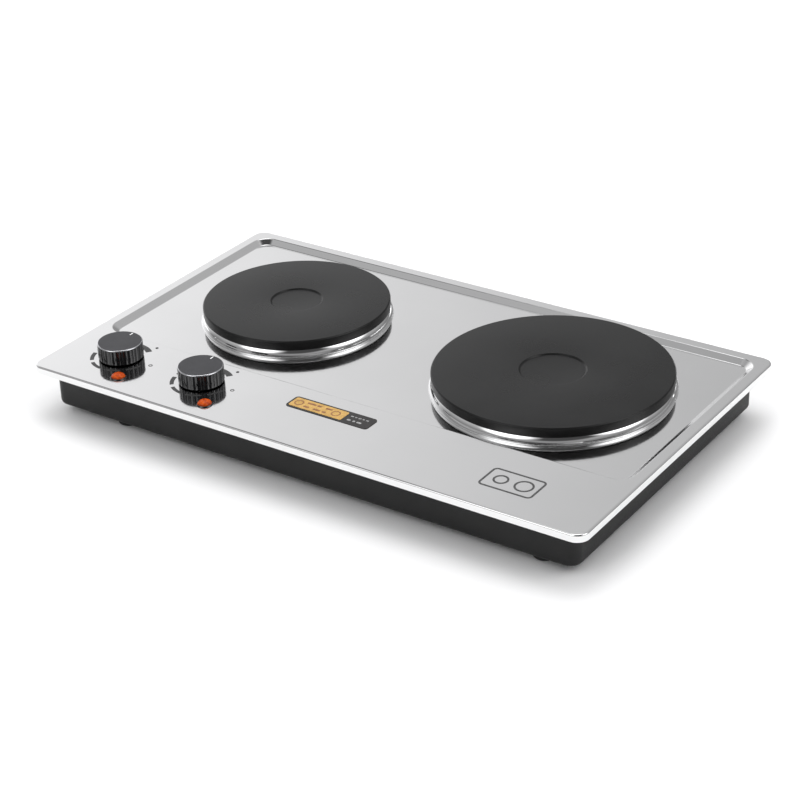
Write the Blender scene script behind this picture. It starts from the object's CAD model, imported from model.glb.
"""Looks of the two-plate hot plate: finer meshes for the pieces that show, a finish for every piece,
a pale studio and the camera. Lengths are in metres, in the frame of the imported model."""

import math

import bmesh
import bpy
from mathutils import Matrix, Vector


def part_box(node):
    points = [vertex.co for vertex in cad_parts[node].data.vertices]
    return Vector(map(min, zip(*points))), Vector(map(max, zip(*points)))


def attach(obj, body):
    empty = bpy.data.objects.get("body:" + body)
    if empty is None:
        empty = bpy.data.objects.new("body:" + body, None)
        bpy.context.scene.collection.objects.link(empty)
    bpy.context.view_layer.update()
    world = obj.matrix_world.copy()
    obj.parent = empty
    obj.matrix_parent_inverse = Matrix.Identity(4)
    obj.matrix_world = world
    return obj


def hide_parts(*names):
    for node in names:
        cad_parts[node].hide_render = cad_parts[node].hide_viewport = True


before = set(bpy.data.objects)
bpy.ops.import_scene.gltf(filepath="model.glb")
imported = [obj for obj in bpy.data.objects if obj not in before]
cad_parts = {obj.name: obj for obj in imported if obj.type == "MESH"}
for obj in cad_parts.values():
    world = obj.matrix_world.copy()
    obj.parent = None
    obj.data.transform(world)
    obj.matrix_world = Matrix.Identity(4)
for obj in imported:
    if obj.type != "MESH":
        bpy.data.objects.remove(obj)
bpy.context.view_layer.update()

MM = 0.001
SIDES = ("left", "right")

# Pressed sheet of the top panel
SHEET_T = 0.7 * MM
PANEL_CORNER = 10 * MM
RIM_ROUND = 1.5 * MM
RIM_MARGIN = 9.5 * MM
STRIP_DEPTH = 79 * MM
RECESS_DEPTH = 4 * MM
RECESS_CORNER = 14 * MM
SLOPE_WIDTH = 5 * MM
CREASE_ROUND = 1.6 * MM
CREASE_REACH = 3
PLATE_HOLE_IN = 5.5 * MM
SPINDLE_HOLE_R = 4.5 * MM
SCREW_HOLE_R = 1.45 * MM
SCREW_HOLE_X = 11 * MM
FLAT_EDGE = 0.4 * MM

# Folded tray
TRAY_T = 0.8 * MM
TRAY_CORNER = 10 * MM
TRAY_EDGE = 4 * MM
VENT_LENGTH = 44 * MM
VENT_WIDTH = 4 * MM
VENT_PITCH = 12 * MM
VENT_COUNT = 7

# Cast plates and their trim rings
PLATE_CHAMFER = 0.9 * MM
PLATE_ROUND = 0.5 * MM
PLATE_STEP = 1 * MM
PLATE_SIDE = 7.5 * MM
PLATE_SHOULDER = 2.6 * MM
PLATE_BODY_IN = 6 * MM
PLATE_CAVITY_IN = 12 * MM
PLATE_BOSS_R = 12 * MM
PLATE_BORE_R = 4.05 * MM
IRON_T = 8 * MM
DISH_RATIO = 0.28
DISH_DEPTH = 1.2 * MM
RING_T = 0.6 * MM
RING_GAP = 0.1 * MM
RING_STEPS = 24
RING_HEAD_IN = 1.2 * MM
BEAD_H = 1.1 * MM
BEAD_W = 0.8 * MM
BEAD_STEP = 0.35 * MM
RING_FOOT_IN = 5 * MM

# Knobs
KNOB_CHAMFER = 1.1 * MM
KNOB_WALL = 2 * MM
KNOB_TOP_T = 3 * MM
HUB_R = 6 * MM
HUB_UP = 1.2 * MM
SPINDLE_R = 3 * MM
SPINDLE_DEPTH = 9.8 * MM
FACE_DEPTH = 0.25 * MM
RIB_COUNT = 30
RIB_DEPTH = 0.35 * MM
RIB_RUNOUT = 0.5 * MM
RIB_STOP = 0.3 * MM
KNOB_UNDERCUT = 0.3 * MM
POINTS_PER_RIB = 10
POINTER_PROUD = 0.08 * MM
FACE_UP = 0.99
BEVEL_UP = 0.35

# Indicator lamps
LENS_SKIRT = 5 * MM
LENS_LEDGE = 0.2 * MM
LENS_STEPS = 10
BEZEL_T = 0.7 * MM
BEZEL_H = 0.9 * MM
BEZEL_ROUND = 0.15 * MM

# Print on the label. Each bar is its start, its length in the upper row and its length in the lower row,
# and each row of dashes is their lengths, the first one's middle, their pitch and their height, all in mm.
PRINT_T = 0.02 * MM
ROW_GAP = 0.22
SIGN_PLACES = (6 * MM, 40 * MM)
SIGN_RADIUS = 0.3
SIGN_LINE = 1.1 * MM
LABEL_BARS = ((12, 8, 5), (21, 4, 6.5), (29, 6, 3.5))
BAR_HEIGHT = 2.2 * MM
BAR_CORNER = 0.3
DASH_ROWS = (((2.6, 1.8, 2.6, 1.8, 2.2), 1.3, 3.4, 1.3), ((3.2, 2.2, 4.2), 1.8, 4.6, 1.9))
DASH_START = 3.5 * MM

# Middle of a noise's range, which each finish spreads its values over
NOISE_LOW = 0.35
NOISE_HIGH = 0.65

# Camera, in degrees and metres
CAMERA_TARGET = Vector((0.03097, -0.04458, 0.039))
CAMERA_DISTANCE = 1.60703
CAMERA_AZIMUTH = math.radians(35.11)
CAMERA_ELEVATION = math.radians(28.36)
CAMERA_ROLL = math.radians(-2.21)
CAMERA_LENS = 95.29
CAMERA_SENSOR = 36.0

# Studio. Each patch of light is (around, elevation, full radius, outer radius, brightness), in degrees from
# the camera's side. In order: the broad bright wall at the back left, a soft box on either side of the
# camera, the dim part above the camera, a lamp overhead for the knobs' edges, and a dim patch beside it.
WALL_LIGHTS = [
    (205, 8, 0, 48, 1.12),
    (-50, 40, 8, 28, 2.2),
    (70, 43, 8, 28, 2.2),
    (0, 60, 29, 45, -0.45),
    (180, 72, 8, 22, 2.8),
    (-150, 58, 6, 26, -0.42),
]
ROOM_LOW = 0.22
ROOM_HIGH = 0.50
ROOM_HIGH_AT = 0.6
ROOM_DARKEST = 0.07
ROOM_TINT = (1.0, 1.0, 1.01, 1)
SOFTBOX_SIDE = 5.0
SOFTBOX_POWER = 76
SOFTBOX_PLACE = (-0.3, 0.5, 2.2)
FLOOR_HALF = 4.0

PANEL_LO, PANEL_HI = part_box("top_panel")
TRAY_LO, TRAY_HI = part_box("base_tray")
RIM_Z = PANEL_HI.z
RECESS_Z = RIM_Z - RECESS_DEPTH


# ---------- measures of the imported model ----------

def round_of(node):
    """Centre, radius, bottom and top of a round node."""
    lo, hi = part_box(node)
    return (lo.x + hi.x) / 2, (lo.y + hi.y) / 2, (hi.x - lo.x) / 2, lo.z, hi.z


def pair_of(node):
    """Centres, radius, bottom and top of a node that holds two equal rounds, set along X."""
    lo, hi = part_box(node)
    r = (hi.y - lo.y) / 2
    y = (lo.y + hi.y) / 2
    return [(lo.x + r, y), (hi.x - r, y)], r, lo.z, hi.z


# ---------- outlines ----------

def filleted(points, radii, steps=8):
    """The open outline through points, with an arc of its own radius at each of them."""
    out = []
    for i, (point, radius) in enumerate(zip(points, radii)):
        if radius == 0:
            out.append(point)
            continue
        corner = Vector(point)
        before = (Vector(points[i - 1]) - corner).normalized()
        after = (Vector(points[i + 1]) - corner).normalized()
        half = before.angle(after) / 2
        centre = corner + (before + after).normalized() * radius / math.sin(half)
        start = corner + before * radius / math.tan(half) - centre
        end = corner + after * radius / math.tan(half) - centre
        for k in range(steps + 1):
            turned = start.slerp(end, k / steps)
            out.append(tuple(centre + turned.normalized() * radius))
    return out


def rounded_rect(width, depth, corner, centre=(0, 0), steps=12):
    """Points round a rectangle with round corners."""
    points = []
    for quarter, (sx, sy) in enumerate(((1, 1), (-1, 1), (-1, -1), (1, -1))):
        cx = centre[0] + sx * (width / 2 - corner)
        cy = centre[1] + sy * (depth / 2 - corner)
        for k in range(steps + 1):
            a = math.radians(90) * (quarter + k / steps)
            points.append((cx + corner * math.cos(a), cy + corner * math.sin(a)))
    return points


def circle(centre, radius, count=96):
    x, y = centre
    turn = 2 * math.pi / count
    return [(x + radius * math.cos(k * turn), y + radius * math.sin(k * turn)) for k in range(count)]


# ---------- mesh work ----------

def add_loop(bm, outline, z):
    return [bm.verts.new((x, y, z)) for x, y in outline]


def bridge(bm, low, high):
    count = len(low)
    for i in range(count):
        j = (i + 1) % count
        bm.faces.new((low[i], low[j], high[j], high[i]))


def loop_edges(bm, loop):
    """The edges round a loop, made where they are missing."""
    edges = []
    for a, b in zip(loop, loop[1:] + loop[:1]):
        edges.append(bm.edges.get((a, b)) or bm.edges.new((a, b)))
    return edges


def sweep_rect(bm, section, width, depth, corner, centre=(0, 0), steps=12):
    """A wall through one rounded rectangle for each (inset, height) of the section. Gives its end loops."""
    loops = []
    for inset, z in section:
        outline = rounded_rect(width - 2 * inset, depth - 2 * inset, corner - inset, centre, steps)
        loops.append(add_loop(bm, outline, z))
    for low, high in zip(loops, loops[1:]):
        bridge(bm, low, high)
    return loops[0], loops[-1]


def fill_flat(bm, loops):
    """A flat face between an outer loop and the holes in it."""
    edges = [edge for loop in loops for edge in loop_edges(bm, loop)]
    bmesh.ops.triangle_fill(bm, edges=edges, use_beauty=True, normal=(0, 0, 1))


def lathe(bm, section, centre, segments=192, shape=None):
    """Turns a section of (radius, height) points about the upright through centre.
    A section whose ends are on the axis is capped there, and any other is closed on itself."""
    rings = []
    for r, z in section:
        if r == 0:
            rings.append([bm.verts.new((centre[0], centre[1], z))])
            continue
        ring = []
        for k in range(segments):
            a = 2 * math.pi * k / segments
            used = shape(r, z, a) if shape else r
            ring.append(bm.verts.new((centre[0] + used * math.cos(a), centre[1] + used * math.sin(a), z)))
        rings.append(ring)
    closed = len(rings[0]) > 1
    for low, high in zip(rings, rings[1:] + (rings[:1] if closed else [])):
        join_rings(bm, low, high)


def join_rings(bm, low, high):
    if len(low) == 1 and len(high) == 1:
        return
    if len(low) > 1 and len(high) > 1:
        bridge(bm, low, high)
        return
    tip, ring = (low[0], high) if len(low) == 1 else (high[0], low)
    for a, b in zip(ring, ring[1:] + ring[:1]):
        bm.faces.new((tip, a, b))


def extrude_outline(bm, outline, z0, z1):
    low = add_loop(bm, outline, z0)
    high = add_loop(bm, outline, z1)
    bridge(bm, low, high)
    fill_flat(bm, [low])
    fill_flat(bm, [high])


def piece(name, bm, body, material, replaces=(), sharp=32, thickness=0.0):
    """A piece from a finished bmesh, smooth but for edges sharper than the given angle."""
    bmesh.ops.recalc_face_normals(bm, faces=bm.faces)
    mesh = bpy.data.meshes.new(name)
    bm.to_mesh(mesh)
    bm.free()
    obj = bpy.data.objects.new(name, mesh)
    bpy.context.scene.collection.objects.link(obj)
    if thickness:
        thicken(obj, thickness)
    obj.data.shade_smooth()
    obj.data.set_sharp_from_angle(angle=math.radians(sharp))
    obj.data.materials.append(material)
    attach(obj, body)
    if replaces:
        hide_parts(*replaces)
    return obj


def thicken(obj, thickness):
    """Gives an open sheet its thickness, on the side that its faces turn away from."""
    modifier = obj.modifiers.new("sheet", "SOLIDIFY")
    modifier.thickness = thickness
    modifier.offset = -1
    modifier.use_even_offset = True
    modifier.use_quality_normals = True
    evaluated = obj.evaluated_get(bpy.context.evaluated_depsgraph_get())
    solid = bpy.data.meshes.new_from_object(evaluated)
    obj.modifiers.clear()
    obj.data = solid


# ---------- finishes ----------

def new_material(name, **constants):
    """A Principled material, its tree and shader node, with constant sockets set by name."""
    material = bpy.data.materials.new(name)
    material.use_nodes = True
    tree = material.node_tree
    shader = tree.nodes["Principled BSDF"]
    for socket, value in constants.items():
        shader.inputs[socket.replace("_", " ")].default_value = value
    return material, tree, shader


def place(tree, stretch=(1, 1, 1)):
    """Object coordinates, stretched along an axis by a small number and squeezed by a large one."""
    coordinates = tree.nodes.new("ShaderNodeTexCoord")
    mapping = tree.nodes.new("ShaderNodeMapping")
    mapping.inputs["Scale"].default_value = stretch
    tree.links.new(coordinates.outputs["Object"], mapping.inputs["Vector"])
    return mapping.outputs["Vector"]


def noise(tree, where, scale, detail=3.0):
    node = tree.nodes.new("ShaderNodeTexNoise")
    node.inputs["Scale"].default_value = scale
    node.inputs["Detail"].default_value = detail
    tree.links.new(where, node.inputs["Vector"])
    return node.outputs["Fac"]


def spread(tree, value, low, high):
    """Maps the middle of a noise's range to low and high."""
    node = tree.nodes.new("ShaderNodeMapRange")
    node.inputs["From Min"].default_value = NOISE_LOW
    node.inputs["From Max"].default_value = NOISE_HIGH
    node.inputs["To Min"].default_value = low
    node.inputs["To Max"].default_value = high
    tree.links.new(value, node.inputs["Value"])
    return node.outputs["Result"]


def blend_colours(tree, value, first, second):
    ramp = tree.nodes.new("ShaderNodeValToRGB")
    ramp.color_ramp.elements[0].position = NOISE_LOW
    ramp.color_ramp.elements[0].color = (*first, 1)
    ramp.color_ramp.elements[1].position = NOISE_HIGH
    ramp.color_ramp.elements[1].color = (*second, 1)
    tree.links.new(value, ramp.inputs["Fac"])
    return ramp.outputs["Color"]


def bump(tree, height, strength, distance, below=None):
    node = tree.nodes.new("ShaderNodeBump")
    node.inputs["Strength"].default_value = strength
    node.inputs["Distance"].default_value = distance
    tree.links.new(height, node.inputs["Height"])
    if below:
        tree.links.new(below, node.inputs["Normal"])
    return node.outputs["Normal"]


def finish(name, first, second, rough, patch, grain, relief, stretch=(1, 1, 1), **constants):
    """A surface whose colour and gloss drift at the patch scale, with a relief at the grain scale."""
    material, tree, shader = new_material(name, **constants)
    drift = noise(tree, place(tree), patch)
    fine = noise(tree, place(tree, stretch), grain)
    tree.links.new(blend_colours(tree, drift, first, second), shader.inputs["Base Color"])
    tree.links.new(spread(tree, fine, *rough), shader.inputs["Roughness"])
    tree.links.new(bump(tree, fine, 1.0, relief), shader.inputs["Normal"])
    return material


def grey(value):
    return (value, value, value)


def cast_iron_finish():
    """Black satin coating over iron: turned rings so fine that they only soften the gloss, and a grain."""
    material, tree, shader = new_material("cast_iron", Specular_IOR_Level=0.25)
    where = place(tree)
    drift = noise(tree, where, 22)
    grain = noise(tree, where, 1400, 4)
    rings = tree.nodes.new("ShaderNodeTexWave")
    rings.wave_type = "RINGS"
    rings.rings_direction = "Z"
    rings.inputs["Scale"].default_value = 260
    rings.inputs["Distortion"].default_value = 0.4
    tree.links.new(where, rings.inputs["Vector"])
    tree.links.new(blend_colours(tree, drift, grey(0.005), grey(0.009)), shader.inputs["Base Color"])
    tree.links.new(spread(tree, drift, 0.27, 0.33), shader.inputs["Roughness"])
    ringed = bump(tree, rings.outputs["Fac"], 0.25, 0.00003)
    tree.links.new(bump(tree, grain, 0.5, 0.00005, ringed), shader.inputs["Normal"])
    return material


def lens_finish():
    """Orange moulding, mottled by the ribbing inside it."""
    material, tree, shader = new_material(
        "lens_orange", Roughness=0.3, IOR=1.49, Specular_IOR_Level=0.2
    )
    drift = noise(tree, place(tree), 420)
    colour = blend_colours(tree, drift, (0.33, 0.034, 0.002), (0.56, 0.080, 0.003))
    tree.links.new(colour, shader.inputs["Base Color"])
    tree.links.new(bump(tree, drift, 0.3, 0.0002), shader.inputs["Normal"])
    return material


def make_finishes():
    """One material for each slot of the record."""
    brushed = (0.03, 1, 1)
    return {
        "stainless": finish("stainless", grey(0.77), grey(0.80), (0.07, 0.12), 9, 900, 0.0000006, brushed,
                            Metallic=1.0),
        "polished_steel": finish("polished_steel", grey(0.80), grey(0.84), (0.05, 0.09), 30, 500,
                                 0.0000005, Metallic=1.0),
        "plated_steel": finish("plated_steel", (0.58, 0.58, 0.55), (0.68, 0.67, 0.66), (0.25, 0.4),
                               120, 900, 0.00002, Metallic=1.0),
        "aluminised_sheet": finish("aluminised_sheet", grey(0.62), grey(0.72), (0.35, 0.5), 60,
                                   300, 0.00004, Metallic=1.0),
        "spring_steel": finish("spring_steel", (0.4, 0.4, 0.42), (0.5, 0.5, 0.51), (0.25, 0.35), 150, 900,
                               0.00001, Metallic=1.0),
        "tray_paint": finish("tray_paint", grey(0.006), grey(0.010), (0.42, 0.55), 30, 1300, 0.00012,
                             Specular_IOR_Level=0.32),
        "foot_rubber": finish("foot_rubber", grey(0.012), grey(0.02), (0.7, 0.85), 90, 1500, 0.00006),
        "gland_rubber": finish("gland_rubber", grey(0.018), grey(0.028), (0.6, 0.75), 90, 1500, 0.00004),
        "cast_iron": cast_iron_finish(),
        "resistance_wire": finish("resistance_wire", (0.30, 0.24, 0.22), (0.42, 0.33, 0.26),
                                  (0.3, 0.45), 300, 1800, 0.00003, Metallic=1.0),
        "ceramic_cement": finish("ceramic_cement", (0.64, 0.61, 0.54), (0.75, 0.73, 0.68),
                                 (0.85, 0.95), 80, 900, 0.0003),
        "ceramic_white": finish("ceramic_white", (0.76, 0.75, 0.70), (0.84, 0.83, 0.80),
                                (0.6, 0.75), 80, 1200, 0.00005),
        "moulded_plastic": finish("moulded_plastic", (0.085, 0.10, 0.10), (0.11, 0.13, 0.13),
                                  (0.45, 0.6), 80, 1400, 0.00005),
        "pale_plastic": finish("pale_plastic", (0.74, 0.72, 0.63), (0.81, 0.79, 0.72), (0.4, 0.55),
                               80, 1400, 0.00004),
        "phenolic": finish("phenolic", (0.15, 0.07, 0.04), (0.25, 0.13, 0.08), (0.35, 0.5), 260,
                           1400, 0.00005),
        "knob_plastic": finish("knob_plastic", (0.004, 0.004, 0.005), (0.007, 0.007, 0.008),
                               (0.10, 0.16), 60, 1800, 0.000002, Specular_IOR_Level=0.5),
        "pointer_white": finish("pointer_white", grey(0.82), grey(0.88), (0.4, 0.5), 400, 2500, 0.00001),
        "contact_brass": finish("contact_brass", (0.66, 0.48, 0.22), (0.75, 0.57, 0.29),
                                (0.22, 0.35), 200, 1200, 0.00001, Metallic=1.0),
        "lens_orange": lens_finish(),
        "neon_glass": finish("neon_glass", (0.95, 0.5, 0.3), (1.0, 0.65, 0.45), (0.02, 0.06), 200,
                             900, 0.000005, IOR=1.5, Transmission_Weight=0.8),
        "label_black": finish("label_black", (0.006, 0.005, 0.005), (0.012, 0.010, 0.009),
                              (0.3, 0.4), 120, 1600, 0.000008),
        "label_amber": finish("label_amber", (0.45, 0.26, 0.055), (0.57, 0.34, 0.085),
                              (0.25, 0.35), 160, 1600, 0.000008),
        "print_grey": finish("print_grey", grey(0.030), grey(0.040), (0.4, 0.5), 250, 1800, 0.000008),
        "print_dark": finish("print_dark", grey(0.045), grey(0.06), (0.4, 0.5), 250, 1800, 0.000008),
        "wire_brown": finish("wire_brown", (0.11, 0.045, 0.022), (0.16, 0.07, 0.035), (0.5, 0.6),
                             150, 1400, 0.00003),
        "wire_blue": finish("wire_blue", (0.025, 0.075, 0.30), (0.035, 0.10, 0.38), (0.5, 0.6), 150, 1400,
                            0.00003),
        "wire_green": finish("wire_green", (0.17, 0.40, 0.04), (0.42, 0.45, 0.04), (0.5, 0.6), 260, 1400,
                             0.00003),
    }


def knob_face_finish():
    """Satin anodised face of the knobs."""
    return finish("knob_face", (0.030, 0.030, 0.034), (0.037, 0.037, 0.042), (0.30, 0.38), 60,
                  2200, 0.000004, Metallic=0.55)


def knob_bevel_finish():
    """Bright cut edge round the face of a knob."""
    return finish("knob_bevel", (0.50, 0.50, 0.52), (0.60, 0.60, 0.62), (0.14, 0.20), 60, 1600, 0.000001,
                  Metallic=1.0)


# ---------- case ----------

def control_places():
    """Centre of each knob, left then right."""
    return [round_of(f"{side}_knob")[:2] for side in SIDES]


def make_panel(finishes):
    width = PANEL_HI.x - PANEL_LO.x
    depth = PANEL_HI.y - PANEL_LO.y
    bm = bmesh.new()

    section = filleted([(0, PANEL_LO.z), (0, RIM_Z), (RIM_ROUND + FLAT_EDGE, RIM_Z)], [0, RIM_ROUND, 0])
    rim = sweep_rect(bm, section, width, depth, PANEL_CORNER)[1]

    recess_w = width - 2 * RIM_MARGIN
    recess_d = depth - STRIP_DEPTH - RIM_MARGIN
    recess_centre = (0, PANEL_HI.y - RIM_MARGIN - recess_d / 2)
    reach = CREASE_REACH * CREASE_ROUND
    slope = [(-reach, RIM_Z), (0, RIM_Z), (SLOPE_WIDTH, RECESS_Z), (SLOPE_WIDTH + reach, RECESS_Z)]
    section = filleted(slope, [0, CREASE_ROUND, CREASE_ROUND, 0])[1:-1]
    section = [(section[0][0] - FLAT_EDGE, RIM_Z), *section, (section[-1][0] + FLAT_EDGE, RECESS_Z)]
    recess_edge, recess_floor = sweep_rect(
        bm, section, recess_w, recess_d, RECESS_CORNER, recess_centre, steps=20
    )

    lamps, lamp_r = pair_of("lamp_lenses")[:2]
    holes = [circle(c, SPINDLE_HOLE_R, 32) for c in control_places()]
    for x, y in control_places():
        holes += [circle((x + shift, y), SCREW_HOLE_R, 16) for shift in (-SCREW_HOLE_X, SCREW_HOLE_X)]
    holes += [circle(c, lamp_r, 48) for c in lamps]
    fill_flat(bm, [rim, recess_edge] + [add_loop(bm, outline, RIM_Z) for outline in holes])

    wells = []
    for side in SIDES:
        x, y, r, _, _ = round_of(f"{side}_hot_plate")
        wells.append(add_loop(bm, circle((x, y), r - PLATE_HOLE_IN, 128), RECESS_Z))
    fill_flat(bm, [recess_floor, *wells])
    return piece("panel", bm, "case", finishes["stainless"], ["top_panel"], thickness=SHEET_T)


def make_tray(finishes):
    width = TRAY_HI.x - TRAY_LO.x
    depth = TRAY_HI.y - TRAY_LO.y
    bottom = TRAY_LO.z
    bm = bmesh.new()
    floor_in = TRAY_EDGE + FLAT_EDGE
    section = filleted([(0, TRAY_HI.z), (0, bottom), (floor_in, bottom)], [0, TRAY_EDGE, 0])
    floor_edge = sweep_rect(bm, section, width, depth, TRAY_CORNER)[1]
    slots = []
    for side in SIDES:
        x, y = round_of(f"{side}_hot_plate")[:2]
        for k in range(VENT_COUNT):
            centre = (x + (k - (VENT_COUNT - 1) / 2) * VENT_PITCH, y)
            outline = rounded_rect(VENT_WIDTH, VENT_LENGTH, VENT_WIDTH / 2 - FLAT_EDGE, centre, steps=4)
            slots.append(add_loop(bm, outline, bottom))
    fill_flat(bm, [floor_edge, *slots])
    return piece("tray", bm, "case", finishes["tray_paint"], ["base_tray"], thickness=TRAY_T)


# ---------- hot plates ----------

def make_hot_plate(side, finishes):
    x, y, r, bottom, top = round_of(f"{side}_hot_plate")
    side_bottom = top - PLATE_SIDE
    cavity = top - IRON_T
    dish_r = DISH_RATIO * r
    section = filleted(
        [
            (0, cavity), (PLATE_BORE_R, cavity), (PLATE_BORE_R, bottom), (PLATE_BOSS_R, bottom),
            (PLATE_BOSS_R, cavity), (r - PLATE_CAVITY_IN, cavity), (r - PLATE_CAVITY_IN, bottom),
            (r - PLATE_BODY_IN, bottom), (r - PLATE_BODY_IN, side_bottom - PLATE_STEP),
            (r - PLATE_SHOULDER, side_bottom), (r, side_bottom), (r, top - PLATE_CHAMFER),
            (r - PLATE_CHAMFER, top), (dish_r, top), (dish_r - DISH_DEPTH, top - DISH_DEPTH),
            (0, top - DISH_DEPTH)
        ],
        [0] * 10 + [PLATE_ROUND / 2] + [PLATE_ROUND] * 4 + [0],
        steps=5
    )
    bm = bmesh.new()
    lathe(bm, section, (0, 0), 256)
    plate = piece(f"{side}_cast_plate", bm, "case", finishes["cast_iron"],
                  [f"{side}_hot_plate"])
    plate.location = (x, y, 0)
    return plate


def make_trim_ring(side, finishes):
    """A pressed ring: a convex slope from under the plate's shoulder down to a small bead on the panel."""
    x, y, plate_r = round_of(f"{side}_hot_plate")[:3]
    _, _, outer_r, bottom, top = round_of(f"{side}_trim_ring")
    head_r = plate_r - RING_HEAD_IN
    lip_r = plate_r - PLATE_SHOULDER + RING_GAP
    foot_r = plate_r - RING_FOOT_IN
    height = top - bottom
    lean = outer_r - BEAD_STEP - head_r
    arc_r = (height * height + lean * lean) / (2 * lean)
    outer = []
    inner = []
    for k in range(RING_STEPS + 1):
        up = BEAD_H + (height - BEAD_H) * k / RING_STEPS
        r = head_r + lean - arc_r + math.sqrt(arc_r * arc_r - up * up)
        outer.append((r, bottom + up))
        inner.append((r - RING_T, bottom + min(up, height - RING_T)))
    bead_top = bottom + BEAD_H - FLAT_EDGE / 2
    bead = filleted(
        [(foot_r, bottom), (outer_r, bottom), (outer_r, bead_top), (outer_r - BEAD_W, bead_top)],
        [0, BEAD_H / 4, BEAD_H / 2 - FLAT_EDGE / 2, 0], 6
    )
    lip = [(lip_r, top), (lip_r, top - RING_T)]
    section = [*bead, *outer, *lip, *reversed(inner), (foot_r, bottom + RING_T)]
    bm = bmesh.new()
    lathe(bm, section, (0, 0), 256)
    ring = piece(f"{side}_chrome_ring", bm, "case", finishes["polished_steel"],
                 [f"{side}_trim_ring"])
    ring.location = (x, y, 0)
    return ring


# ---------- knobs ----------

def make_knob(side, finishes, face, bevel):
    """A hollow knob with a ribbed side, a bright-cut bevel and a satin face inside it."""
    x, y, r, bottom, cad_top = round_of(f"{side}_knob")
    top = cad_top - POINTER_PROUD
    inner = r - KNOB_WALL
    roof = top - KNOB_TOP_T
    hub = bottom + HUB_UP
    bore_top = bottom + SPINDLE_DEPTH
    rib_low = bottom + RIB_RUNOUT
    rib_high = top - KNOB_CHAMFER - RIB_STOP
    outline = [
        (0, bore_top), (SPINDLE_R, bore_top), (SPINDLE_R, hub), (HUB_R, hub), (HUB_R, roof), (inner, roof),
        (inner, bottom), (r - KNOB_UNDERCUT, bottom), (r, rib_low), (r, rib_high), (r, top),
        (r - KNOB_CHAMFER - FLAT_EDGE, top), (0, top)
    ]
    section = filleted(outline, [KNOB_CHAMFER if point == (r, top) else 0 for point in outline], 6)

    def ribbed(radius, z, angle):
        if radius < r or z > rib_high:
            return radius
        return radius - RIB_DEPTH * (0.5 - 0.5 * math.cos(RIB_COUNT * angle))

    bm = bmesh.new()
    lathe(bm, section, (0, 0), RIB_COUNT * POINTS_PER_RIB, ribbed)
    knob = piece(f"{side}_ribbed_knob", bm, f"{side}_control", finishes["knob_plastic"],
                 [f"{side}_knob"], sharp=28)
    knob.data.materials.append(face)
    knob.data.materials.append(bevel)
    for polygon in knob.data.polygons:
        if polygon.center.z > top - FACE_DEPTH and polygon.normal.z > FACE_UP:
            polygon.material_index = 1
        elif polygon.center.z > top - KNOB_CHAMFER and polygon.normal.z > BEVEL_UP:
            polygon.material_index = 2
    knob.location = (x, y, 0)
    return knob


# ---------- lamps ----------

def make_lenses(finishes):
    places, r, bottom, top = pair_of("lamp_lenses")
    base = bottom + LENS_SKIRT
    dome_h = top - base
    foot_r = r - LENS_LEDGE
    dome = []
    for k in range(LENS_STEPS + 1):
        a = math.radians(90) * k / LENS_STEPS
        dome.append((foot_r * math.cos(a), base + dome_h * math.sin(a)))
    dome[-1] = (0, top)
    bm = bmesh.new()
    for centre in places:
        lathe(bm, [(0, bottom), (r, bottom), (r, base), *dome], centre, 64)
    return piece("lamp_domes", bm, "case", finishes["lens_orange"], ["lamp_lenses"],
                 sharp=50)


def make_bezels(finishes):
    places, r, bottom, _ = pair_of("lamp_bezels")
    inner = r - BEZEL_T
    top = bottom + BEZEL_H
    outline = [
        (inner, bottom), (r, bottom), (r, bottom + BEZEL_H / 2), (r - BEZEL_T / 2, top), (inner, top)
    ]
    bm = bmesh.new()
    for centre in places:
        lathe(bm, filleted(outline, [0, 0, BEZEL_ROUND, BEZEL_ROUND, 0], 4), centre, 64)
    dark_steel = finish("lamp_rim", grey(0.06), grey(0.09), (0.16, 0.22), 200, 900, 0.000001,
                        Metallic=1.0)
    return piece("lamp_rims", bm, "case", dark_steel, ["lamp_bezels"])


# ---------- print on the label ----------

def add_plaques(bm, rows, z):
    """Thin rounded bars, each given as (centre x, centre y, width, height)."""
    for x, y, width, height in rows:
        corner = min(width, height) * BAR_CORNER
        extrude_outline(bm, rounded_rect(width, height, corner, (x, y), steps=3), z, z + PRINT_T)


def add_plate_sign(bm, centre, radius, line, z):
    """A ring, the sign for a round hot plate."""
    loops = []
    for r, height in ((radius, z), (radius, z + PRINT_T), (radius - line, z + PRINT_T), (radius - line, z)):
        loops.append(add_loop(bm, circle(centre, r, 32), height))
    for low, high in zip(loops, loops[1:] + loops[:1]):
        bridge(bm, low, high)


def make_label_print(finishes):
    """Brown signs and bars in the amber window, and two rows of pale dashes beside it."""
    lo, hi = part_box("label_window")
    middle = (lo.y + hi.y) / 2
    height = hi.y - lo.y
    row_gap = height * ROW_GAP
    bm = bmesh.new()
    for x in SIGN_PLACES:
        add_plate_sign(bm, (lo.x + x, middle), height * SIGN_RADIUS, SIGN_LINE, hi.z)
    bars = []
    for start, upper, lower in LABEL_BARS:
        for length, shift in ((upper, row_gap), (lower, -row_gap)):
            bars.append((lo.x + (start + length / 2) * MM, middle + shift, length * MM, BAR_HEIGHT))
    add_plaques(bm, bars, hi.z)
    brown = finish("label_brown", (0.20, 0.075, 0.022), (0.28, 0.12, 0.035), (0.3, 0.4), 200, 1600, 5e-6)
    piece("label_signs", bm, "case", brown)

    film_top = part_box("front_label")[1].z
    bm = bmesh.new()
    dashes = []
    for (lengths, first, pitch, thick), shift in zip(DASH_ROWS, (row_gap, -row_gap)):
        for k, length in enumerate(lengths):
            x = hi.x + DASH_START + (first + pitch * k) * MM
            dashes.append((x, middle + shift, length * MM, thick * MM))
    add_plaques(bm, dashes, film_top)
    pale = finish("label_pale", grey(0.26), grey(0.32), (0.4, 0.5), 400, 2500, 0.000005)
    piece("label_dashes", bm, "case", pale)


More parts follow.
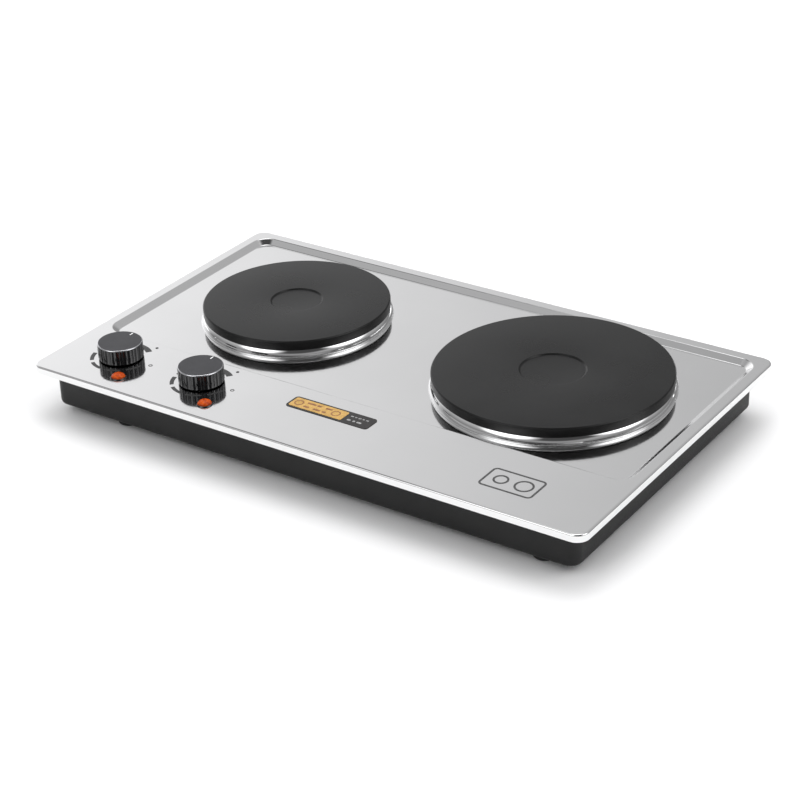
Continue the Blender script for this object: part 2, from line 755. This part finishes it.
# ---------- carried-over nodes ----------

NODE_SLOTS = {
    "plated_steel": ["support_pillars", "case_screws", "foot_screws", "foot_nuts", "floor_screws",
                     "plate_studs", "plate_nuts", "plate_spacers", "thermostat_screws", "left_spindle",
                     "right_spindle"],
    "aluminised_sheet": ["heat_shields", "left_plate_cover", "right_plate_cover", "left_thermostat_cover",
                         "right_thermostat_cover", "left_plate_bracket", "right_plate_bracket"],
    "spring_steel": ["left_knob_clip", "right_knob_clip", "lamp_clips"],
    "foot_rubber": ["rubber_feet"],
    "gland_rubber": ["cable_gland"],
    "resistance_wire": ["left_heating_coil", "right_heating_coil"],
    "ceramic_cement": ["left_insulating_ring", "right_insulating_ring"],
    "ceramic_white": ["left_coil_terminal", "right_coil_terminal"],
    "moulded_plastic": ["cord_clamp"],
    "pale_plastic": ["mains_terminal_block", "left_cam", "right_cam", "left_cam_follower",
                     "right_cam_follower"],
    "phenolic": ["left_thermostat_housing", "right_thermostat_housing"],
    "pointer_white": ["left_knob_pointer", "right_knob_pointer"],
    "contact_brass": ["thermostat_terminals", "left_contact_blade", "right_contact_blade"],
    "neon_glass": ["neon_lamps"],
    "label_black": ["front_label"],
    "label_amber": ["label_window"],
    "print_grey": ["dial_marks"],
    "print_dark": ["front_pictogram"],
    "wire_brown": ["live_wires"],
    "wire_blue": ["neutral_wires"],
    "wire_green": ["earth_wire"],
}


def dress_nodes(finishes):
    for slot, names in NODE_SLOTS.items():
        for name in names:
            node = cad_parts[name]
            node.data.materials.clear()
            node.data.materials.append(finishes[slot])


# ---------- studio ----------

def make_camera():
    toward = Vector((
        math.sin(CAMERA_AZIMUTH) * math.cos(CAMERA_ELEVATION),
        -math.cos(CAMERA_AZIMUTH) * math.cos(CAMERA_ELEVATION),
        math.sin(CAMERA_ELEVATION)
    ))
    level = (-toward).cross(Vector((0, 0, 1))).normalized()
    upright = level.cross(-toward)
    right = level * math.cos(CAMERA_ROLL) + upright * math.sin(CAMERA_ROLL)
    up = upright * math.cos(CAMERA_ROLL) - level * math.sin(CAMERA_ROLL)
    data = bpy.data.cameras.new("camera")
    data.sensor_width = CAMERA_SENSOR
    data.lens = CAMERA_LENS
    camera = bpy.data.objects.new("camera", data)
    bpy.context.scene.collection.objects.link(camera)
    turn = Matrix((right, up, toward)).transposed().to_4x4()
    camera.matrix_world = Matrix.Translation(CAMERA_TARGET + toward * CAMERA_DISTANCE) @ turn
    bpy.context.scene.camera = camera


def make_floor():
    bm = bmesh.new()
    corners = [(x * FLOOR_HALF, y * FLOOR_HALF) for x, y in ((-1, -1), (1, -1), (1, 1), (-1, 1))]
    bm.faces.new(add_loop(bm, corners, 0))
    mesh = bpy.data.meshes.new("floor")
    bm.to_mesh(mesh)
    bm.free()
    floor = bpy.data.objects.new("floor", mesh)
    bpy.context.scene.collection.objects.link(floor)
    mesh.materials.append(finish("floor_paper", grey(0.90), grey(0.92), (0.7, 0.8), 4, 60, 0.0001))


def pointing(around, elevation):
    """A direction: degrees round the upright from the camera's side, and degrees above the horizon."""
    turn = CAMERA_AZIMUTH + math.radians(around)
    height = math.radians(elevation)
    return Vector((math.sin(turn) * math.cos(height), -math.cos(turn) * math.cos(height), math.sin(height)))


def math_node(tree, operation, first, second):
    node = tree.nodes.new("ShaderNodeMath")
    node.operation = operation
    for socket, value in zip(node.inputs, (first, second)):
        if isinstance(value, bpy.types.NodeSocket):
            tree.links.new(value, socket)
        else:
            socket.default_value = value
    return node.outputs["Value"]


def smooth_range(tree, value, from_low, from_high, to_low, to_high):
    node = tree.nodes.new("ShaderNodeMapRange")
    node.interpolation_type = "SMOOTHSTEP"
    for socket, number in zip(list(node.inputs)[1:5], (from_low, from_high, to_low, to_high)):
        socket.default_value = number
    tree.links.new(value, node.inputs["Value"])
    return node.outputs["Result"]


def angle_from(tree, direction, axis):
    """Angle in radians between the direction and an axis."""
    dot = tree.nodes.new("ShaderNodeVectorMath")
    dot.operation = "DOT_PRODUCT"
    dot.inputs[1].default_value = axis
    tree.links.new(direction, dot.inputs[0])
    return math_node(tree, "ARCCOSINE", dot.outputs["Value"], 0)


def make_room_light():
    """A soft room that brightens upwards, with the patches of WALL_LIGHTS added to it."""
    world = bpy.data.worlds.new("studio")
    world.use_nodes = True
    bpy.context.scene.world = world
    tree = world.node_tree
    background = tree.nodes["Background"]
    direction = tree.nodes.new("ShaderNodeTexCoord").outputs["Generated"]
    axes = tree.nodes.new("ShaderNodeSeparateXYZ")
    tree.links.new(direction, axes.inputs["Vector"])
    total = smooth_range(tree, axes.outputs["Z"], 0, ROOM_HIGH_AT, ROOM_LOW, ROOM_HIGH)
    for around, elevation, full, outer, brightness in WALL_LIGHTS:
        angle = angle_from(tree, direction, pointing(around, elevation))
        patch = smooth_range(tree, angle, math.radians(full), math.radians(outer), brightness, 0)
        total = math_node(tree, "ADD", total, patch)
    total = math_node(tree, "MAXIMUM", total, ROOM_DARKEST)
    tree.links.new(total, background.inputs["Strength"])
    background.inputs["Color"].default_value = ROOM_TINT


def make_softbox():
    """One large soft light, high over the object and a little to the back left."""
    data = bpy.data.lights.new("softbox", "AREA")
    data.shape = "SQUARE"
    data.size = SOFTBOX_SIDE
    data.energy = SOFTBOX_POWER
    light = bpy.data.objects.new("softbox", data)
    bpy.context.scene.collection.objects.link(light)
    light.location = SOFTBOX_PLACE
    light.visible_glossy = False
    light.visible_camera = False
    light.rotation_mode = "QUATERNION"
    light.rotation_quaternion = light.location.to_track_quat("Z", "Y")


def main():
    make_camera()
    finishes = make_finishes()
    face = knob_face_finish()
    bevel = knob_bevel_finish()
    make_panel(finishes)
    make_tray(finishes)
    for side in SIDES:
        make_hot_plate(side, finishes)
        make_trim_ring(side, finishes)
        make_knob(side, finishes, face, bevel)
    make_lenses(finishes)
    make_bezels(finishes)
    make_label_print(finishes)
    dress_nodes(finishes)
    make_floor()
    make_room_light()
    make_softbox()
    bpy.context.scene.view_settings.view_transform = "Standard"


main()
bpy.context.view_layer.update()
